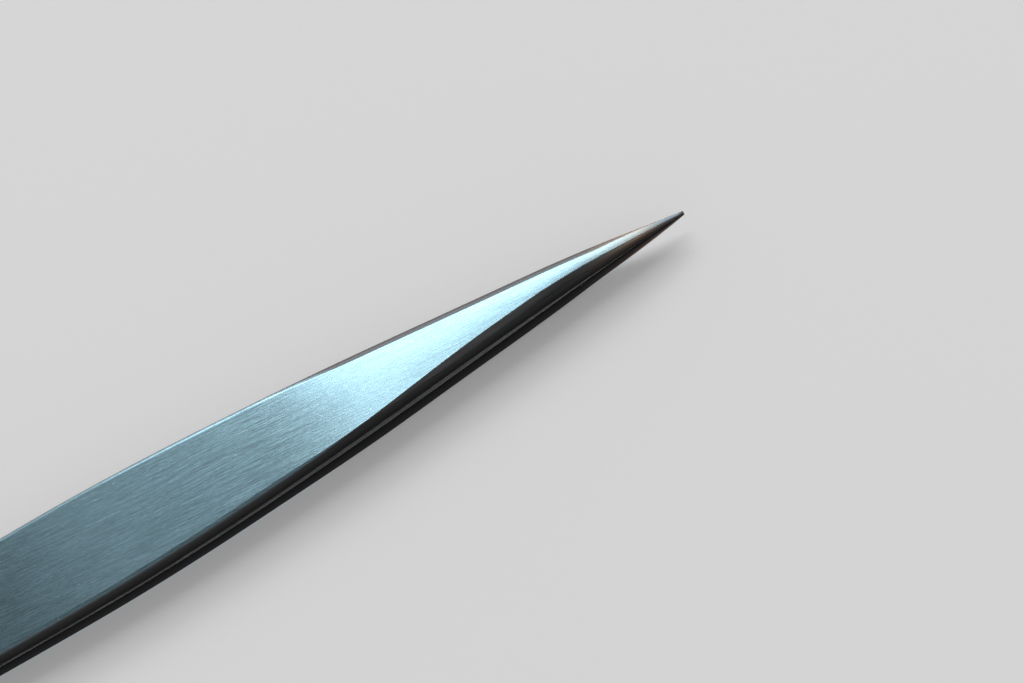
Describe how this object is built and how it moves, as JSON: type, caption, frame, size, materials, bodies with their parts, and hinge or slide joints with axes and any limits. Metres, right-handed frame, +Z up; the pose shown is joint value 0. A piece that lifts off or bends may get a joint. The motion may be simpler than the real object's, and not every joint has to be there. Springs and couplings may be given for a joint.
{
  "type": "precision tweezers",
  "caption": "Straight fine-point steel tweezers: leaf-shaped brushed arms welded at the tail, ground bevels running to needle points, each arm springing open about its bend line.",
  "frame": {"origin": "on the surface the tweezers lie on, below the middle of their length and width", "axes": "+X along the tweezers towards the points, +Y across the arms to the left as seen from the tail, +Z up, the way the upper arm opens"},
  "size_m": [0.125, 0.01, 0.0031],
  "materials": {
    "arm_steel": "fine oblique brushing on the outer faces, darker ground sides and bevels",
    "weld_steel": "fused spot-weld metal, inside the seam"
  },
  "bodies": {
    "tail": {"upper_heel": "arm_steel", "lower_heel": "arm_steel", "front_spot_weld": "weld_steel", "rear_spot_weld": "weld_steel"},
    "upper_arm": {"upper_blade": "arm_steel"},
    "lower_arm": {"lower_blade": "arm_steel"}
  },
  "joints": [
    {"name": "upper_arm_bend", "type": "hinge", "parent": "tail", "child": "upper_arm", "pos_m": [-0.0421, 0, 0.00252], "axis": [0, -1, 0], "range_deg": [0, 2.8], "stiffness_Nm_per_rad": 0.8, "springref_deg": 2.8},
    {"name": "lower_arm_bend", "type": "hinge", "parent": "lower_arm", "child": "tail", "pos_m": [-0.0421, 0, 0.00057], "axis": [0, -1, 0], "range_deg": [0, 2.8], "stiffness_Nm_per_rad": 0.8, "springref_deg": 2.8}
  ]
}
